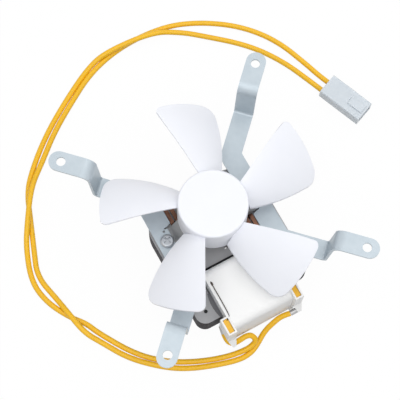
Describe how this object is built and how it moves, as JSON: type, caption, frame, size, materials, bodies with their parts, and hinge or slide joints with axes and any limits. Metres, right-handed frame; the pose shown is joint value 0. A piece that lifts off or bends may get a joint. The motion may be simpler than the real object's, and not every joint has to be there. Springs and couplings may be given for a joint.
{
  "type": "shaded-pole fan motor",
  "caption": "Small induction fan motor: moulded bladed impeller on a laminated motor with a side coil, cranked mounting arms and two leads to a plug-in connector.",
  "frame": {"origin": "centre of the circle through the four arm holes, on the tabs' fan-side faces, which is on the shaft axis", "axes": "+Z along the shaft out of the fan's front, +X along the coil, the coil at -Y"},
  "size_m": [0.1909, 0.1752, 0.0514],
  "materials": {
    "white_moulding": "smooth injection moulding",
    "zinc_sheet": "zinc plated sheet steel",
    "bearing_steel": "plain drawn sheet steel",
    "lamination_steel": "varnished electrical steel stack",
    "ground_steel": "ground bar",
    "cast_aluminium": "die cast",
    "sintered_bronze": "sintered, oil filled",
    "felt": "oiled felt",
    "spring_steel": "pressed thin sheet",
    "washer_plastic": "moulded",
    "copper": "bare copper bar",
    "enamelled_copper": "wound enamelled wire",
    "bobbin_nylon": "moulded nylon",
    "tape": "wrapped insulating tape",
    "yellow_insulation": "extruded insulation",
    "tinned_metal": "tinned",
    "plated_screw": "zinc plated",
    "connector_nylon": "translucent natural nylon",
    "contact_brass": "stamped brass"
  },
  "bodies": {
    "motor_frame": {"arm_bracket_left": "zinc_sheet", "arm_bracket_right": "zinc_sheet", "front_bearing_bracket": "bearing_steel", "rear_bearing_bracket": "bearing_steel", "stator_core": "lamination_steel", "closing_core": "lamination_steel", "front_bush": "sintered_bronze", "rear_bush": "sintered_bronze", "front_oil_felt": "felt", "rear_oil_felt": "felt", "front_bush_retainer": "spring_steel", "rear_bush_retainer": "spring_steel", "shading_rings": "copper", "winding": "enamelled_copper", "bobbin": "bobbin_nylon", "winding_tape": "tape", "crimp_sleeve_left": "yellow_insulation", "crimp_sleeve_right": "yellow_insulation", "lead_left": "yellow_insulation", "lead_right": "yellow_insulation", "terminal_left": "tinned_metal", "terminal_right": "tinned_metal", "long_screws": "plated_screw", "long_screw_nuts": "plated_screw", "connector_housing": "connector_nylon", "connector_contacts": "contact_brass"},
    "rotor": {"fan_impeller": "white_moulding", "shaft": "ground_steel", "rotor_core": "lamination_steel", "rotor_cage": "cast_aluminium", "front_thrust_washer": "washer_plastic", "rear_thrust_washer": "washer_plastic", "front_rotor_spacer": "cast_aluminium", "rear_rotor_spacer": "cast_aluminium"}
  },
  "joints": [
    {"name": "fan_spin", "type": "hinge", "parent": "motor_frame", "child": "rotor", "pos_m": [0, 0, 0], "axis": [0, 0, 1], "continuous": true}
  ]
}
